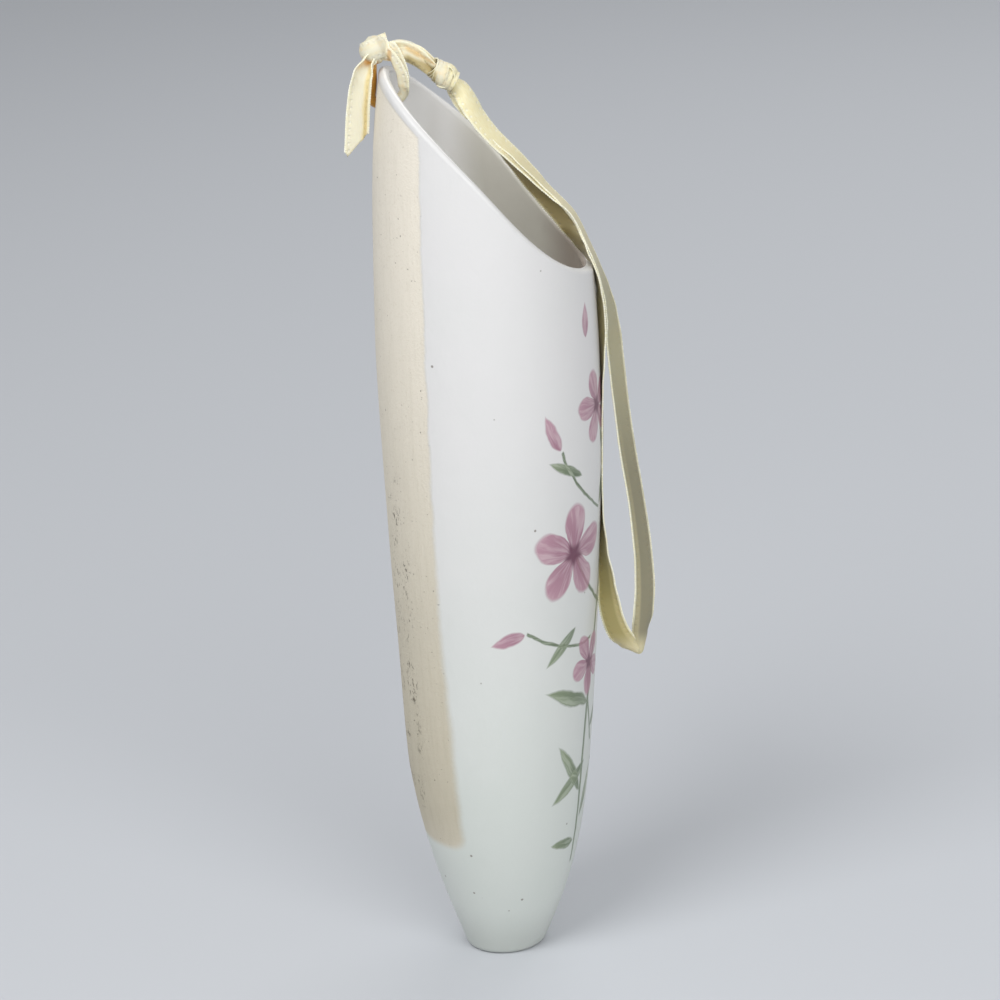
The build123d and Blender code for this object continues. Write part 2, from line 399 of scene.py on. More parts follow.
def stitch_tree():
    """Geometry nodes: one small stitch after another along each edge line."""
    tree = bpy.data.node_groups.new("selvedge_stitches", "GeometryNodeTree")
    face = tree.interface
    face.new_socket("Edge Lines", in_out="INPUT", socket_type="NodeSocketGeometry")
    for name in ("Pitch", "Length", "Thickness"):
        face.new_socket(name, in_out="INPUT", socket_type="NodeSocketFloat")
    face.new_socket("Thread", in_out="INPUT", socket_type="NodeSocketMaterial")
    face.new_socket("Stitches", in_out="OUTPUT", socket_type="NodeSocketGeometry")

    def add(kind, **settings):
        node = tree.nodes.new(kind)
        for key, value in settings.items():
            setattr(node, key, value)
        return node

    given, result = add("NodeGroupInput"), add("NodeGroupOutput")
    curves, tangent = add("GeometryNodeMeshToCurve"), add("GeometryNodeInputTangent")
    spaced = add("GeometryNodeResampleCurve", mode="LENGTH")
    facing = add("FunctionNodeAlignRotationToVector", axis="X")
    stitch = add("GeometryNodeMeshIcoSphere")
    stitch.inputs["Radius"].default_value = 0.5
    stitch.inputs["Subdivisions"].default_value = 2
    size = add("ShaderNodeCombineXYZ")
    uneven = add("FunctionNodeRandomValue", data_type="FLOAT")
    uneven.inputs[2].default_value, uneven.inputs[3].default_value = 0.88, 1.12
    uneven.inputs["Seed"].default_value = 7
    thick = add("ShaderNodeMath", operation="MULTIPLY")
    placed, real = add("GeometryNodeInstanceOnPoints"), add("GeometryNodeRealizeInstances")
    round_off, covered = add("GeometryNodeSetShadeSmooth"), add("GeometryNodeSetMaterial")
    for start, end in (
        (given.outputs["Edge Lines"], curves.inputs["Mesh"]),
        (curves.outputs["Curve"], spaced.inputs["Curve"]),
        (given.outputs["Pitch"], spaced.inputs["Length"]),
        (tangent.outputs["Tangent"], facing.inputs["Vector"]),
        (given.outputs["Thickness"], thick.inputs[0]),
        (uneven.outputs[1], thick.inputs[1]),
        (given.outputs["Length"], size.inputs["X"]),
        (thick.outputs[0], size.inputs["Y"]),
        (thick.outputs[0], size.inputs["Z"]),
        (spaced.outputs["Curve"], placed.inputs["Points"]),
        (stitch.outputs["Mesh"], placed.inputs["Instance"]),
        (facing.outputs["Rotation"], placed.inputs["Rotation"]),
        (size.outputs["Vector"], placed.inputs["Scale"]),
        (placed.outputs["Instances"], real.inputs["Geometry"]),
        (real.outputs["Geometry"], round_off.inputs["Geometry"]),
        (round_off.outputs["Geometry"], covered.inputs["Geometry"]),
        (given.outputs["Thread"], covered.inputs["Material"]),
        (covered.outputs["Geometry"], result.inputs["Stitches"]),
    ):
        tree.links.new(start, end)
    return tree


def stitched_edges(name, cloth, tree, thread):
    """The stitches along both selvedges of a cloth, as one plain mesh."""
    vertices, edges = [], []
    for line in (cloth[:, 0], cloth[:, -1]):
        edges += [(len(vertices) + k, len(vertices) + k + 1) for k in range(len(line) - 1)]
        vertices += line.tolist()
    guide_mesh = bpy.data.meshes.new(name + "_guide")
    guide_mesh.from_pydata(vertices, edges, [])
    guide = bpy.data.objects.new(name + "_guide", guide_mesh)
    bpy.context.scene.collection.objects.link(guide)
    modifier = guide.modifiers.new("stitches", "NODES")
    modifier.node_group = tree
    wanted = {
        "Pitch": STITCH_PITCH * MM, "Length": STITCH_LENGTH * MM,
        "Thickness": STITCH_THICKNESS * MM, "Thread": thread,
    }
    for item in tree.interface.items_tree:
        if item.item_type == "SOCKET" and item.in_out == "INPUT" and item.name in wanted:
            modifier[item.identifier] = wanted[item.name]
    bpy.context.view_layer.update()
    evaluated = guide.evaluated_get(bpy.context.evaluated_depsgraph_get())
    mesh = bpy.data.meshes.new_from_object(evaluated)
    guide.modifiers.remove(modifier)
    bpy.data.objects.remove(guide)
    mesh.name = name
    return mesh


# Shader maths


class Amount:
    """A socket in a finish. Values are worked out with as numbers are."""

    def __init__(self, finish, socket):
        self.finish = finish
        self.socket = socket

    def math(self, operation, *others):
        return self.finish.node("Math", {"operation": operation}, [self, *others])

    def __add__(self, other):
        return self.math("ADD", other)

    __radd__ = __add__

    def __mul__(self, other):
        return self.math("MULTIPLY", other)

    __rmul__ = __mul__

    def __sub__(self, other):
        return self.math("SUBTRACT", other)

    def __rsub__(self, other):
        return self.finish.node("Math", {"operation": "SUBTRACT"}, [other, self])

    def __truediv__(self, other):
        return self.math("DIVIDE", other)

    def __pow__(self, other):
        return self.math("POWER", other)

    def __abs__(self):
        return self.math("ABSOLUTE")


class Finish:
    """A material and the nodes it is made with."""

    def __init__(self, name):
        self.material = bpy.data.materials.new(name)
        self.material.use_nodes = True
        self.tree = self.material.node_tree
        self.shader = self.tree.nodes["Principled BSDF"]

    def join(self, value, socket):
        if isinstance(value, Amount):
            self.tree.links.new(value.socket, socket)
        else:
            socket.default_value = value

    def node(self, kind, settings=None, values=(), output=0):
        made = self.tree.nodes.new("ShaderNode" + kind)
        for key, setting in (settings or {}).items():
            setattr(made, key, setting)
        pairs = values.items() if isinstance(values, dict) else enumerate(values)
        for key, value in pairs:
            self.join(value, made.inputs[key])
        return Amount(self, made.outputs[output])

    def set(self, **inputs):
        for key, value in inputs.items():
            name = key.replace("_", " ").title().replace("Ior", "IOR")
            self.join(value, self.shader.inputs[name])

    def split(self, vector):
        first = self.node("SeparateXYZ", None, [vector])
        return [Amount(self, output) for output in first.socket.node.outputs]

    def joined(self, *values):
        return self.node("CombineXYZ", None, values)

    def step(self, value, low, high):
        """0 below low, 1 above high and a soft change between them."""
        settings = {"interpolation_type": "SMOOTHSTEP"}
        return self.node("MapRange", settings, [value, low, high, 0.0, 1.0])

    def line(self, value, inner, outer):
        """1 where a value is within inner of zero, 0 beyond outer."""
        return 1 - self.step(abs(value), inner, outer)

    def mix(self, share, first, second):
        values = {0: share, 6: self.colour(first), 7: self.colour(second)}
        return self.node("Mix", {"data_type": "RGBA"}, values, output=2)

    def colour(self, value):
        return value if isinstance(value, Amount) else (*value, 1)

    def noise(self, vector, scale, detail=2.0, roughness=0.5):
        values = {"Vector": vector, "Scale": scale, "Detail": detail, "Roughness": roughness}
        return self.node("TexNoise", None, values)

    def stretch(self, vector, scale):
        return self.node("VectorMath", {"operation": "MULTIPLY"}, [vector, scale])

    def bump(self, height, strength=1.0):
        """Height is in millimetres."""
        return self.node("Bump", None, {"Strength": strength, "Distance": MM, "Height": height})


SATIN_LIGHT = (0.88, 0.82, 0.56)
SATIN_DEEP = (0.82, 0.72, 0.40)
SATIN_EDGE = (0.92, 0.88, 0.64)
SATIN_DOT = (0.96, 0.94, 0.80)
SATIN_PALE_PAINTED_LIGHT = (0.785, 0.745, 0.60)
SATIN_STRAND_SHADE = (0.56, 0.49, 0.30)
SATIN_HANGING_SHADE = (0.38, 0.355, 0.23)
SATIN_HANGING_SHADE_LOW = (0.235, 0.22, 0.145)
SATIN_WARM_HANGING_SHADE = (0.38, 0.32, 0.105)
SATIN_SHADED = (0.245, 0.19, 0.065)
SATIN_GOLD_SHADE = (0.80, 0.62, 0.24)
SATIN_AMBER_SHADE = (0.56, 0.26, 0.02)
SATIN_WARM_SHADE_MOTTLE = (0.86, 0.60, 0.28)
SATIN_CREASE_SHADE = (0.66, 0.45, 0.19)
SATIN_UNDERSIDE_SHADE = (0.40, 0.31, 0.12)

# Across the cloth, in millimetres: where the selvedge starts, the dots inside it, and the ribs
SELVEDGE_EDGE = (2.50, 2.70)
DOT_ROW = 2.05
DOT_PITCH = 1.9
DOT_RADII = (0.20, 0.48)
RIB_PITCH = 0.32
# How stretched the long floats, the soft creases and the slow wandering are on the cloth
FLOAT_GRAIN = (0.5, 7.0, 1.0)
CREASE_GRAIN = (0.40, 0.10, 1.0)
WANDER_GRAIN = (0.10, 0.0, 1.0)

# Where the ribbon's tone changes, in metres. Each pair is a soft edge, 0 at its first place and
# 1 at its second.
TIED_Y = (-0.0265, -0.0225)
TAIL_EDGES = {"z": (0.1380, 0.1355), "y": (-0.0065, -0.0045), "x": (-0.0018, -0.0026)}
# A line through a place (y, z), and how fast one leaves it along y and along z
BRIDGE_CREASE, BRIDGE_CREASE_SLOPE = (-0.0155, 0.1396), (-527.0, 850.0)
BRIDGE_NEAR_Y, BRIDGE_FAR_Y = (-0.0130, -0.0150), (-0.0222, -0.0210)
KNOT_GAP, KNOT_GAP_SLOPE = (-0.0098, 0.1385), (1000.0, 120.0)
KNOT_GAP_TOP, KNOT_GAP_FOOT = (0.1415, 0.1400), (0.1340, 0.1360)
KNOT_UNDERSIDE, KNOT_FOOT = (0.1388, 0.1366), (0.1330, 0.1345)
KNOT_FRONT_Y = (-0.0108, -0.0092)
BACK_STRAND_EDGES = {"x": (-0.0034, -0.0026), "y": (-0.0072, -0.0056), "z": (0.1395, 0.1370)}
STRAND_SHADE_Z = (0.119, 0.106)
HANGING_SHADE_Z = (0.092, 0.070)
HANGING_SHADE_LOW_Z = (0.055, 0.015)
PALER_STRIPE_Z = (0.050, -0.010)
DOUBLED_Z = (-0.0245, -0.0305)
INNER_STRAND_ALONG = (170.0, 182.0)
OVER_MOUTH_Y, OVER_MOUTH_Z = (-0.030, -0.036), (0.072, 0.086)
FACING_DOWN = (0.05, -0.40)


def inside_edges(finish, place, edges):
    """1 where a place is past every one of the named soft edges."""
    share = 1.0
    for axis, edge in edges.items():
        share = finish.step(place[axis], *edge) * share
    return share


def from_line(place, through, slope):
    """How far a place is from a sloping line in the vase's side view, in steps of its slope."""
    return (place["y"] - through[0]) * slope[0] + (place["z"] - through[1]) * slope[1]


def tied_tone(satin, tone, place, weave, across):
    """The knots, the wrap and the tail are painted paler, as painted light, with painted warm shade
    in their folds and undersides. Below them the ribbon is painted darker, as painted shade."""
    y, z = place["y"], place["z"]
    bent = satin.noise(satin.stretch(weave, WANDER_GRAIN), 1.0, 1.0) - 0.5
    tied = satin.step(y, *TIED_Y)
    tail = inside_edges(satin, place, TAIL_EDGES)
    knotted = tied * (1 - tail)
    # Painted light: the knots, the wrap and the tail are painted paler than the hanging loop.
    tone = satin.mix(tied * 0.75, tone, SATIN_PALE_PAINTED_LIGHT)
    # Painted shade: wandering gold lines in the folds of the knots and the wrap.
    golden_fold_shade = satin.line(abs(across) - 1.2 - bent * 1.8, 0.10, 0.75)
    tone = satin.mix(golden_fold_shade * knotted * 0.16, tone, SATIN_GOLD_SHADE)
    # Painted shade: a gold line in the tail's lengthwise crease.
    creased = satin.line(across - 1.9 - bent * 1.4, 0.20, 1.10)
    tone = satin.mix(creased * tail * 0.72, tone, SATIN_GOLD_SHADE)
    # Painted shade: warm orange patches over the knots, laid out as a random mottle.
    warm_shade_patches = satin.step(satin.noise(place["all"], 430.0, 2.0), 0.50, 0.66)
    tone = satin.mix(warm_shade_patches * knotted * 0.30, tone, SATIN_WARM_SHADE_MOTTLE)

    # Painted shade: an orange line along the bridge's crease, and darker gold shade on its lower
    # side.
    over_crease = from_line(place, BRIDGE_CREASE, BRIDGE_CREASE_SLOPE)
    bridging = satin.step(y, *BRIDGE_NEAR_Y) * satin.step(y, *BRIDGE_FAR_Y)
    crease_shade = satin.line(over_crease, 0.10, 0.85) * bridging
    tone = satin.mix(crease_shade * 0.70, tone, SATIN_CREASE_SHADE)
    shade_under_crease = satin.step(over_crease, -0.4, -1.6) * bridging
    tone = satin.mix(shade_under_crease * 0.85, tone, SATIN_UNDERSIDE_SHADE)

    # Painted shade: amber in the narrow space between the ball knot and the wrap.
    gap_shade = satin.line(from_line(place, KNOT_GAP, KNOT_GAP_SLOPE), 0.15, 0.95)
    gap_shade = gap_shade * satin.step(z, *KNOT_GAP_TOP) * satin.step(z, *KNOT_GAP_FOOT)
    tone = satin.mix(gap_shade * 0.60, tone, SATIN_AMBER_SHADE)
    # Painted shade: amber under the ball knot.
    below = satin.step(z, *KNOT_UNDERSIDE) * satin.step(z, *KNOT_FOOT)
    below = below * satin.step(y, *KNOT_FRONT_Y) * knotted
    tone = satin.mix(below * 0.60, tone, SATIN_AMBER_SHADE)
    # Painted shade: the strands are darker below the knots.
    tone = satin.mix(satin.step(z, *STRAND_SHADE_Z) * 0.58, tone, SATIN_STRAND_SHADE)
    # Painted shade: deep amber on the back strand, in the narrow space between the tail and the
    # vase.
    shade_behind_tail = inside_edges(satin, place, BACK_STRAND_EDGES)
    return satin.mix(shade_behind_tail * 0.97, tone, SATIN_AMBER_SHADE)


def loop_tone(satin, tone, place, along, across):
    """Painted shade: where one layer hangs free it is painted greyer and darker, for the
    vase's shadow it hangs in and the light that goes through it.
    """
    y, z = place["y"], place["z"]
    _, _, upward = satin.split(satin.node("TexCoord", output=1))
    # Painted shade on the hanging loop: darker low down, and warmer on the inner strand.
    thin = satin.mix(satin.step(z, *HANGING_SHADE_LOW_Z), SATIN_HANGING_SHADE, SATIN_HANGING_SHADE_LOW)
    thin = satin.mix(satin.step(along, *INNER_STRAND_ALONG) * 0.8, thin, SATIN_WARM_HANGING_SHADE)
    # A paler stripe along one side of the hanging loop, low down.
    paler_stripe = satin.line(across + 1.9, 0.3, 1.1) * satin.step(z, *PALER_STRIPE_Z)
    thin = satin.mix(paler_stripe * 0.25, thin, SATIN_DEEP)
    # Less painted shade where the ribbon lies doubled at its lower fold.
    doubled = satin.step(z, *DOUBLED_Z)
    tone = satin.mix(satin.step(z, *HANGING_SHADE_Z) * (0.96 - doubled * 0.80), tone, thin)
    over_mouth = satin.step(z, *OVER_MOUTH_Z) * satin.step(y, *OVER_MOUTH_Y)
    shaded = satin.step(upward, *FACING_DOWN) * over_mouth
    return satin.mix(shaded * 0.92, tone, SATIN_SHADED)


def satin_finish():
    """Cream satin: long floats, a paler selvedge and a row of small dots inside it."""
    satin = Finish("satin_ribbon_woven")
    weave = satin.node("UVMap", {"uv_map": "weave"})
    along, across, _ = satin.split(weave)
    from_middle = abs(across)
    selvedge = satin.step(from_middle, *SELVEDGE_EDGE)
    dot_along = ((along / DOT_PITCH).math("FRACT") - 0.5) * DOT_PITCH
    dot_across = from_middle - DOT_ROW
    from_dot = (dot_along * dot_along + dot_across * dot_across).math("SQRT")
    dot = 1 - satin.step(from_dot, *DOT_RADII)
    floats = satin.noise(satin.stretch(weave, FLOAT_GRAIN), 1.0, 3.0)
    ribs = (along * (2 * math.pi / RIB_PITCH)).math("SINE")
    creases = satin.noise(satin.stretch(weave, CREASE_GRAIN), 1.0, 2.0)
    tone = satin.mix(satin.step(floats, 0.30, 0.70), SATIN_DEEP, SATIN_LIGHT)
    # Painted shade: the cloth is darker along its soft creases, which the bump also raises.
    tone = satin.mix(satin.step(creases, 0.52, 0.78) * 0.30, tone, SATIN_DEEP)
    tone = satin.mix(dot * 0.5, tone, SATIN_DOT)
    metres = satin.node("TexCoord", output=3)
    place = dict(zip("xyz", satin.split(metres)), all=metres)
    tone = tied_tone(satin, tone, place, weave, across)
    tone = loop_tone(satin, tone, place, along, across)
    tone = satin.mix(selvedge * 0.6, tone, SATIN_EDGE)
    height = ribs * 0.010 + floats * 0.02 + dot * 0.10 + creases * 0.10
    satin.set(
        base_color=tone, roughness=0.46 - dot * 0.12, normal=satin.bump(height),
        sheen_weight=0.2, sheen_roughness=0.4, subsurface_weight=0.10, subsurface_scale=0.0012,
    )
    satin.shader.inputs["Subsurface Radius"].default_value = (1.0, 0.7, 0.35)
    return satin.material


def thread_finish():
    """The paler, rounder thread of the selvedges."""
    thread = Finish("satin_selvedge_thread")
    place = thread.node("TexCoord", output=3)
    uneven = thread.noise(place, 900.0, 2.0)
    tone = thread.mix(thread.step(uneven, 0.35, 0.65), SATIN_EDGE, SATIN_DOT)
    thread.set(
        base_color=tone, roughness=0.42, sheen_weight=0.2, sheen_roughness=0.4,
        normal=thread.bump(thread.noise(place, 5200.0) * 0.04),
    )
    return thread.material


# Glaze and painting. Lengths in this part are in millimetres.

BODY_MIDDLE = -29.0
FRONT_RADIUS = 29.0
GLAZE_WHITE = (0.725, 0.71, 0.705)
GLAZE_FOOT_SHADOW = (0.40, 0.42, 0.39)
GLAZE_SHADE_AND_MOTTLE = (0.61, 0.65, 0.605)
INNER_LIGHT = (0.96, 0.945, 0.92)
INNER_HALF_SHADE = (0.665, 0.645, 0.575)
INNER_SHADE = (0.42, 0.36, 0.31)
BISQUE_LIGHT = (0.81, 0.755, 0.65)
BISQUE_SHADE_AND_STREAK = (0.50, 0.455, 0.345)
PIT_BROWN = (0.09, 0.065, 0.04)
BISQUE_SAND = (0.50, 0.41, 0.28)
GLAZE_FLECK = (0.66, 0.66, 0.62)
SPECK_BROWN = (0.16, 0.13, 0.10)

# The bare strip: its edge where it is widest, how it bows in from there, its rounded foot, and
# the band of glaze that is left between it and the sloping rim
STRIP_EDGE_Y = -13.15
STRIP_WIDEST_Z = -10.0
STRIP_BOW, STRIP_BOW_POWER = 0.00266, 1.5
STRIP_CORNER = 4.0
STRIP_FOOT = -79.0
STRIP_SOFTER_Z = (70.0, -70.0)
STRIP_SOFTNESS = 0.45
RIM_SLOPE, RIM_HEIGHT, RIM_STRETCH = 1.06, 143.0, 1.457
RIM_BAND = 2.2
# Where the tones of the glaze and of the clay change, as soft edges
OUTSIDE_FACING = (-2.0, 4.0)
GLAZE_LOW_SHADE_Z, FOOT_SHADOW_Z = (60.0, -90.0), (-98.0, -114.0)
INNER_HALF_SHADE_Y, INNER_SHADE_Y = (-20.0, -31.0), (-43.0, -54.0)
CLAY_SHADE_Z, STRIP_END_Z = (110.0, -80.0), (-68.0, -79.0)
# Specks: how many to a millimetre, how large, and which share of them shows
SPECK_SCALE = 0.30
SPECK_RADII, SPECK_CHOSEN = (0.08, 0.14), (0.93, 0.94)
# The track of pits down the strip: where it runs, how it leans, and where it starts and ends
PIT_TRACK_Y, PIT_TRACK_Z, PIT_TRACK_LEAN = -2.6, -30.0, 0.02
PIT_TOP_Z, PIT_FOOT_Z = (45.0, 15.0), (-76.0, -62.0)
RUBBED_GRAIN, HOLE_GRAIN, GROUP_GRAIN = (0.9, 0.9, 0.05), (1.5, 1.5, 0.6), (0.2, 0.2, 0.11)

PETAL_PALE = (0.53, 0.28, 0.35)
PETAL_DEEP = (0.30, 0.10, 0.17)
HEART_PLUM = (0.13, 0.035, 0.07)
LEAF_PALE = (0.31, 0.37, 0.22)
LEAF_DEEP = (0.08, 0.125, 0.055)

# A flowering twig. Blossoms: place round the front and height, radius, turn, how wide it shows.
BLOSSOMS = [
    (-21.0, 5.0, 15.0, 12.0, 1.0), (-8.0, 43.0, 11.5, 30.0, 0.9), (-12.0, -29.0, 11.0, 48.0, 0.9),
    (15.0, 26.0, 12.0, 65.0, 0.95), (28.0, -4.0, 9.0, 20.0, 0.9),
]
# Buds and leaves: foot of the stroke, its angle from the level, length, width
BUDS = [
    (-25.0, 35.0, 112.0, 12.0, 6.5), (-38.0, -14.0, 196.0, 11.0, 6.5),
    (-13.0, 63.0, 84.0, 10.0, 5.5), (30.0, 44.0, 58.0, 11.0, 6.0), (36.0, 12.0, 20.0, 10.0, 5.5),
]
LEAVES = [
    (-11.0, -41.0, 160.0, 24.0, 8.5), (-9.0, -50.0, 28.0, 20.0, 7.5),
    (-12.0, -58.0, 206.0, 22.0, 8.0), (-15.0, -67.0, 128.0, 22.0, 8.0),
    (-13.0, -76.0, 60.0, 18.0, 7.0), (-6.0, 14.0, 64.0, 16.0, 6.5), (8.0, 4.0, 128.0, 17.0, 6.5),
    (14.0, -24.0, 318.0, 20.0, 8.0), (-4.0, -60.0, 335.0, 18.0, 7.0),
    (-16.0, -82.0, 174.0, 16.0, 6.5), (22.0, 6.0, 350.0, 15.0, 6.0),
    (-20.0, -16.0, 218.0, 16.0, 6.0), (-17.0, 26.0, 150.0, 14.0, 5.5),
]
# Stalks: foot of the stroke, its angle, length, how far it bows, thickness
STALKS = [
    (-14.0, -90.0, 82.0, 84.0, 5.0, 1.6), (1.0, -16.0, 136.0, 30.0, 3.0, 1.1),
    (-3.0, -8.0, 95.0, 52.0, -4.0, 1.1), (-6.0, -54.0, 104.0, 25.0, 2.0, 1.1),
    (-6.0, 14.0, 132.0, 28.0, 3.0, 0.9), (1.0, -26.0, 75.0, 54.0, -6.0, 1.2),
    (-11.0, -22.0, 163.0, 28.0, 3.0, 0.9), (8.0, -14.0, 27.0, 22.0, 3.0, 0.9),
    (15.0, 30.0, 43.0, 20.0, -2.0, 0.9),
]


class Brushwork:
    """The painted strokes of one family of colours: where they cover the glaze, how far each has
    come along its length, and where its bristles ran."""

    def __init__(self, finish, flat_place):
        self.finish = finish
        self.flat_place = flat_place
        self.cover = self.travel = self.bristle = 0.0

    def local(self, place, degrees, size):
        settings = {"vector_type": "TEXTURE"}
        values = {
            "Vector": self.flat_place, "Location": (*place, 0),
            "Rotation": (0, 0, math.radians(degrees)), "Scale": (*size, 1),
        }
        return self.finish.split(self.finish.node("Mapping", settings, values))

    def lay(self, mask, travel, bristle):
        self.cover = mask.math("MAXIMUM", self.cover)
        self.travel = mask.math("MULTIPLY_ADD", travel, self.travel)
        self.bristle = mask.math("MULTIPLY_ADD", bristle, self.bristle)

    def stroke(self, place, degrees, length, width, fullness):
        """A pressed and lifted brush stroke. fullness moves its widest place along it."""
        along, across, _ = self.local(place, degrees, (length, width / 2))
        belly = (along ** fullness) * (1 - along).math("MAXIMUM", 0.0) * (1 + fullness)
        mask = self.finish.step(belly * 1.25 - abs(across), 0.0, 0.22)
        self.lay(mask, along, across + place[0])

    def stalk(self, place, degrees, length, bow, thickness):
        along, across, _ = self.local(place, degrees, (length, length))
        curve = along * (1 - along) * (4 * bow / length)
        inside = self.finish.step(0.5 - abs(along - 0.5), 0.0, 0.02)
        near = thickness / length * 0.5
        mask = (1 - self.finish.step(abs(across - curve), near * 0.6, near * 1.4)) * inside
        self.lay(mask, along * 0.3, across * 40)

    def blossom(self, place, radius, degrees, width):
        """Five round petals about a heart."""
        along, across, _ = self.local(place, degrees, (radius * width, radius))
        reach = (along * along + across * across).math("SQRT")
        angle = across.math("ARCTAN2", along)
        petal = abs((angle * 2.5).math("COSINE"))
        limit = (petal ** 0.55) * 0.78 + 0.20
        mask = self.finish.step(limit - reach, 0.0, 0.10)
        self.lay(mask, reach, angle * 2.2 + place[0])
        return 1 - self.finish.step(reach + petal * 0.10, 0.16, 0.34)


def painted(finish, glaze, across_front, height, front):
    """The glaze with a flowering twig brushed over its front."""
    wander = finish.noise(finish.joined(across_front, height, 0.0), 0.16, 2.0)
    aside, upward = across_front + wander * 1.2 - 0.6, height + wander * 1.6 - 0.8
    flat_place = finish.joined(aside, upward, 0.0)
    greens, mauves = Brushwork(finish, flat_place), Brushwork(finish, flat_place)
    for x, z, degrees, length, bow, thickness in STALKS:
        greens.stalk((x, z), degrees, length, bow, thickness)
    for x, z, degrees, length, width in LEAVES:
        greens.stroke((x, z), degrees, length, width, 0.85)
    for x, z, degrees, length, width in BUDS:
        mauves.stroke((x, z), degrees, length, width, 0.7)
    heart = 0.0
    for x, z, radius, degrees, width in BLOSSOMS:
        heart = mauves.blossom((x, z), radius, degrees, width).math("MAXIMUM", heart)
    colour = glaze
    for brush, pale, deep, thin in (
        (greens, LEAF_PALE, LEAF_DEEP, 0.92), (mauves, PETAL_PALE, PETAL_DEEP, 0.86),
    ):
        hairs = finish.joined(brush.bristle * 2.6, brush.travel * 1.1, 0.0)
        streaks = finish.noise(hairs, 1.0, 3.0, 0.6)
        shade = finish.step(streaks, 0.38, 0.68)
        wash = finish.step(brush.travel, 0.15, 0.95)
        tone = finish.mix(shade * 0.45 + wash * 0.45, deep, pale)
        cover = brush.cover * front * (thin - shade * 0.22)
        colour = finish.mix(cover, colour, tone)
    return finish.mix(heart * front * 0.9, colour, HEART_PLUM)


def bare_share(glaze, place, outside):
    """1 on the strip of bare clay down the back, which ends short of the rim and of the foot."""
    _, y, z = glaze.split(place)
    wobble = glaze.noise(place, 0.09, 3.0) * 1.6 - 0.8 + glaze.noise(place, 0.9, 2.0) * 0.5 - 0.25
    edge = STRIP_EDGE_Y - (abs(z - STRIP_WIDEST_Z) ** STRIP_BOW_POWER) * STRIP_BOW
    sideways = (edge - y + wobble + STRIP_CORNER).math("MAXIMUM", 0.0)
    downwards = (STRIP_FOOT + STRIP_CORNER - z).math("MAXIMUM", 0.0)
    beyond = (sideways * sideways + downwards * downwards).math("SQRT") - STRIP_CORNER
    below_rim = (z - y * RIM_SLOPE - RIM_HEIGHT) / RIM_STRETCH + RIM_BAND
    softness = glaze.step(z, *STRIP_SOFTER_Z) + STRIP_SOFTNESS
    bare = 1 - glaze.step(beyond.math("MAXIMUM", below_rim) / softness, -1.0, 1.0)
    return bare * outside


def glazed_tone(glaze, place, outside):
    """White, with painted shade that makes it darker and greener towards the foot and a painted
    ground shadow at the foot, a little mottled and specked, with painted light and shade inside.
    """
    _, y, z = glaze.split(place)
    # Painted shade: the glaze is darker and greener towards the foot, and the same tone is also
    # laid as a random mottle.
    glaze_low_shade, mottle = glaze.step(z, *GLAZE_LOW_SHADE_Z), glaze.noise(place, 0.05, 3.0)
    tone = glaze.mix(glaze_low_shade * 0.75 + mottle * 0.25, GLAZE_WHITE, GLAZE_SHADE_AND_MOTTLE)
    flecks = glaze.step(glaze.noise(place, 1.1, 3.0, 0.6), 0.60, 0.80)
    tone = glaze.mix(flecks * 0.18, tone, GLAZE_FLECK)
    # Painted shadow of the floor near the foot.
    tone = glaze.mix(glaze.step(z, *FOOT_SHADOW_Z) * 0.45, tone, GLAZE_FOOT_SHADOW)
    # Painted light and shade inside: light near the top of the back, shade towards the front wall.
    inside = glaze.mix(glaze.step(y, *INNER_HALF_SHADE_Y), INNER_LIGHT, INNER_HALF_SHADE)
    inside = glaze.mix(glaze.step(y, *INNER_SHADE_Y), inside, INNER_SHADE)
    tone = glaze.mix(1 - outside, tone, inside)
    cells = ("TexVoronoi", {"feature": "F1"}, {"Vector": place, "Scale": SPECK_SCALE})
    from_speck, chosen = glaze.node(*cells, output=0), glaze.node(*cells, output=1)
    picked, _, _ = glaze.split(chosen)
    speck = (1 - glaze.step(from_speck, *SPECK_RADII)) * glaze.step(picked, *SPECK_CHOSEN) * outside
    return glaze.mix(speck * 0.75, tone, SPECK_BROWN)


def bare_clay(glaze, place):
    """The tone and the height of the bare bisque, with rubbed streaks and a track of pits, and
    painted shade that darkens it towards the foot.
    """
    _, y, z = glaze.split(place)
    sand = glaze.noise(place, 1.6, 4.0, 0.65)
    rubbed = glaze.noise(glaze.stretch(place, RUBBED_GRAIN), 1.0, 4.0, 0.6)
    # Painted shade: the bare clay gets darker towards the foot; its own rubbed streaks darken it
    # too.
    clay_lower_shade = glaze.step(z, *CLAY_SHADE_Z) * 0.85 - glaze.step(z, *STRIP_END_Z) * 0.16
    darker = clay_lower_shade + glaze.step(rubbed, 0.4, 0.75) * 0.10
    tone = glaze.mix(darker, BISQUE_LIGHT, BISQUE_SHADE_AND_STREAK)
    tone = glaze.mix(glaze.step(sand, 0.52, 0.75) * 0.25, tone, BISQUE_SAND)
    track = glaze.line(y - PIT_TRACK_Y + (z - PIT_TRACK_Z) * PIT_TRACK_LEAN, 0.6, 3.6)
    reach = glaze.step(z, *PIT_TOP_Z) * glaze.step(z, *PIT_FOOT_Z)
    holes = glaze.noise(glaze.stretch(place, HOLE_GRAIN), 1.0, 3.0, 0.7)
    groups = glaze.step(glaze.noise(glaze.stretch(place, GROUP_GRAIN), 1.0, 1.0), 0.46, 0.60)
    pits = glaze.step(holes, 0.585, 0.64) * track * reach * groups
    stray = glaze.step(glaze.noise(place, 1.1, 2.0), 0.725, 0.75) * 0.6
    pits = pits.math("MAXIMUM", stray)
    tone = glaze.mix(pits * 0.85, tone, PIT_BROWN)
    return tone, sand * 0.16 + rubbed * 0.10 - pits * 0.35 - 0.22


